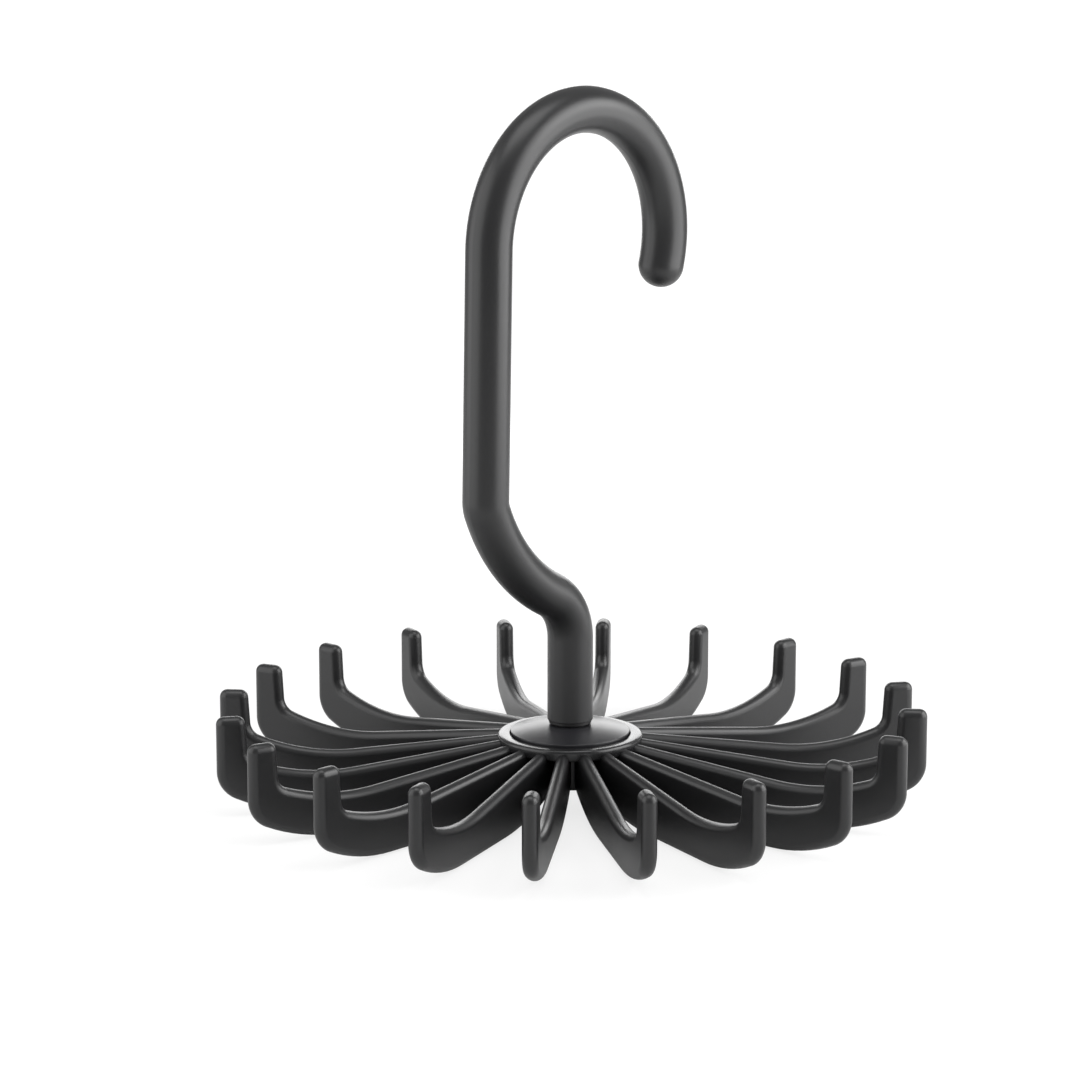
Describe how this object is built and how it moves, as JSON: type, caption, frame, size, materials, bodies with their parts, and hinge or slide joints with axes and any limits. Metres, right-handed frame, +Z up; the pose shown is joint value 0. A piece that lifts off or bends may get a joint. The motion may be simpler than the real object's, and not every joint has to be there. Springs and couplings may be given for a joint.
{
  "type": "tie hanger",
  "caption": "Moulded hook for a wardrobe rail, carrying a turning wheel of thin upright arms, each with a saddle and finger that hold a tie or belt.",
  "frame": {"origin": "on the wheel's axis, at the level of the surface that the arms stand on", "axes": "+Z up along the wheel's axis; the hook lies in the XZ plane with its tip towards +X, so a rail runs along Y"},
  "size_m": [0.11, 0.11, 0.11],
  "materials": {
    "moulded_hook": "satin black moulded polypropylene",
    "moulded_wheel": "satin black moulded polypropylene",
    "moulded_disc": "smooth black moulded acetal",
    "zinc_steel": "zinc-plated steel"
  },
  "bodies": {
    "hook": {"hook": "moulded_hook", "retaining_washer": "zinc_steel", "pan_head_screw": "zinc_steel"},
    "wheel": {"hub": "moulded_wheel", "thrust_disc": "moulded_disc", "arm_01": "moulded_wheel", "arm_02": "moulded_wheel", "arm_03": "moulded_wheel", "arm_04": "moulded_wheel", "arm_05": "moulded_wheel", "arm_06": "moulded_wheel", "arm_07": "moulded_wheel", "arm_08": "moulded_wheel", "arm_09": "moulded_wheel", "arm_10": "moulded_wheel", "arm_11": "moulded_wheel", "arm_12": "moulded_wheel", "arm_13": "moulded_wheel", "arm_14": "moulded_wheel", "arm_15": "moulded_wheel", "arm_16": "moulded_wheel", "arm_17": "moulded_wheel", "arm_18": "moulded_wheel", "arm_19": "moulded_wheel", "arm_20": "moulded_wheel"}
  },
  "joints": [
    {"name": "wheel_spin", "type": "hinge", "parent": "hook", "child": "wheel", "pos_m": [0, 0, 0.006], "axis": [0, 0, 1], "continuous": true}
  ]
}
